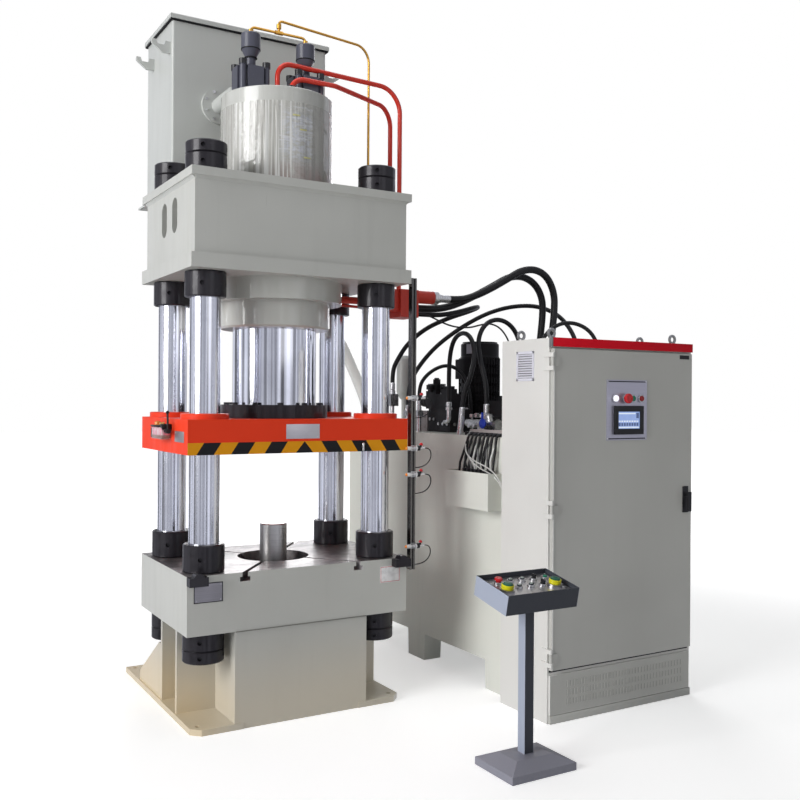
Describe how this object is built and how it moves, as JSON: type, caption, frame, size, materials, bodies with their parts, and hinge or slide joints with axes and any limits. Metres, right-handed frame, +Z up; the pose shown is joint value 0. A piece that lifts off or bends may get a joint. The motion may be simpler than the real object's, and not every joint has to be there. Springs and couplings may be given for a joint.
{
  "type": "hydraulic press",
  "caption": "Four-column hydraulic press with a slide, ejector, head tank, filling valves, an oil station, a control cabinet and a two-hand control pedestal.",
  "frame": {"origin": "on the floor under the centre of the four columns", "axes": "+X to the right along the front of the press, +Y to its back, +Z up along the columns and the stroke"},
  "size_m": [2.667, 2.782, 3.74],
  "materials": {
    "press_paint": "gloss",
    "tank_paint": "gloss",
    "station_paint": "gloss",
    "red_paint": "gloss",
    "slate_paint": "satin",
    "valve_paint": "satin",
    "cabinet_paint": "satin",
    "door_paint": "satin",
    "black_paint": "gloss",
    "hard_chrome": "polished",
    "black_steel": "blackened",
    "bare_steel": "satin",
    "gold_metal": "plated",
    "black_rubber": "matt",
    "clear_plastic": "clear",
    "black_plastic": "satin",
    "blue_plastic": "gloss",
    "red_plastic": "gloss",
    "green_plastic": "gloss"
  },
  "bodies": {
    "frame": {"accumulator": "black_paint", "ball_valve": "bare_steel", "base_frame": "press_paint", "bed_beam": "press_paint", "cabinet_body": "cabinet_paint", "cable_trough": "station_paint", "clear_hose": "clear_plastic", "column_locknuts": "black_steel", "column_nuts": "black_steel", "columns": "hard_chrome", "corner_blocks": "black_steel", "crown_beam": "press_paint", "crown_manifold": "red_paint", "cylinder_gland": "black_steel", "ejector_cylinder": "black_steel", "filling_pipe": "bare_steel", "head_tank": "tank_paint", "head_tank_lid": "tank_paint", "hose_fittings": "bare_steel", "limit_rail": "bare_steel", "limit_switches": "gold_metal", "main_cylinder": "press_paint", "main_hoses": "black_rubber", "mounting_plate": "bare_steel", "oil_tank": "station_paint", "oil_tank_cover": "station_paint", "pedestal_box": "slate_paint", "pedestal_stand": "slate_paint", "pilot_pipe": "gold_metal", "prefill_drum": "press_paint", "prefill_valves": "valve_paint", "pump_motor": "black_paint", "sensor_cable": "black_rubber", "station_hoses": "black_rubber", "station_manifold": "bare_steel", "supply_pipes": "red_paint", "switch_cables": "black_rubber", "tank_bracket": "press_paint", "trough_cables": "black_rubber", "valve_bolts": "bare_steel", "valve_tower": "black_steel"},
    "slide": {"slide_beam": "red_paint", "ram": "hard_chrome", "ram_flange": "black_steel", "guide_bushes": "red_paint", "grease_pump": "bare_steel"},
    "grease_lever": {"grease_lever": "black_plastic"},
    "ejector_rod": {"ejector_rod": "hard_chrome"},
    "cabinet_door": {"cabinet_door": "door_paint"},
    "door_handle": {"door_handle": "black_plastic"},
    "ball_valve_handle": {"ball_valve_handle": "blue_plastic"},
    "door_estop": {"door_estop": "red_plastic"},
    "door_start": {"door_start": "green_plastic"},
    "door_stop": {"door_stop": "red_plastic"},
    "pedestal_estop": {"pedestal_estop": "red_plastic"},
    "pedestal_start": {"pedestal_start": "green_plastic"},
    "palm_button_left": {"palm_button_left": "green_plastic"},
    "palm_button_right": {"palm_button_right": "green_plastic"},
    "selector_back": {"selector_back": "black_plastic"},
    "selector_front": {"selector_front": "black_plastic"}
  },
  "joints": [
    {"name": "press_stroke", "type": "slide", "parent": "frame", "child": "slide", "axis": [0, 0, 1], "range_m": [-0.35, 0.375]},
    {"name": "ejector_stroke", "type": "slide", "parent": "frame", "child": "ejector_rod", "axis": [0, 0, 1], "range_m": [-0.195, 0.025]},
    {"name": "grease_lever_swing", "type": "hinge", "parent": "slide", "child": "grease_lever", "pos_m": [-0.632, -0.181, 1.44], "axis": [0, 1, 0], "range_deg": [-40, 20]},
    {"name": "cabinet_door_hinge", "type": "hinge", "parent": "frame", "child": "cabinet_door", "pos_m": [1.01, -1.1, 1.063], "axis": [0, 0, -1], "range_deg": [0, 100]},
    {"name": "door_handle_turn", "type": "hinge", "parent": "cabinet_door", "child": "door_handle", "pos_m": [1.941, -1.115, 1.1], "axis": [0, 1, 0], "range_deg": [0, 90]},
    {"name": "ball_valve_turn", "type": "hinge", "parent": "frame", "child": "ball_valve_handle", "pos_m": [1.206, -0.24, 1.466], "axis": [1, 0, 0], "range_deg": [0, 90]},
    {"name": "door_estop_press", "type": "slide", "parent": "cabinet_door", "child": "door_estop", "axis": [0, 1, 0], "range_m": [0, 0.003], "stiffness_N_per_m": 600, "springref_m": -0.001},
    {"name": "door_start_press", "type": "slide", "parent": "cabinet_door", "child": "door_start", "axis": [0, 1, 0], "range_m": [0, 0.003], "stiffness_N_per_m": 600, "springref_m": -0.001},
    {"name": "door_stop_press", "type": "slide", "parent": "cabinet_door", "child": "door_stop", "axis": [0, 1, 0], "range_m": [0, 0.003], "stiffness_N_per_m": 600, "springref_m": -0.001},
    {"name": "pedestal_estop_press", "type": "slide", "parent": "frame", "child": "pedestal_estop", "axis": [0, 0.2062, -0.9785], "range_m": [0, 0.003], "stiffness_N_per_m": 600, "springref_m": -0.001},
    {"name": "pedestal_start_press", "type": "slide", "parent": "frame", "child": "pedestal_start", "axis": [0, 0.2062, -0.9785], "range_m": [0, 0.003], "stiffness_N_per_m": 600, "springref_m": -0.001},
    {"name": "palm_button_left_press", "type": "slide", "parent": "frame", "child": "palm_button_left", "axis": [0, 0.2062, -0.9785], "range_m": [0, 0.004], "stiffness_N_per_m": 600, "springref_m": -0.001},
    {"name": "palm_button_right_press", "type": "slide", "parent": "frame", "child": "palm_button_right", "axis": [0, 0.2062, -0.9785], "range_m": [0, 0.004], "stiffness_N_per_m": 600, "springref_m": -0.001},
    {"name": "selector_back_turn", "type": "hinge", "parent": "frame", "child": "selector_back", "pos_m": [0.661, -1.39925, 0.82396], "axis": [0, -0.2062, 0.9785], "range_deg": [-45, 45]},
    {"name": "selector_front_turn", "type": "hinge", "parent": "frame", "child": "selector_front", "pos_m": [0.661, -1.46383, 0.81035], "axis": [0, -0.2062, 0.9785], "range_deg": [-45, 45]}
  ]
}
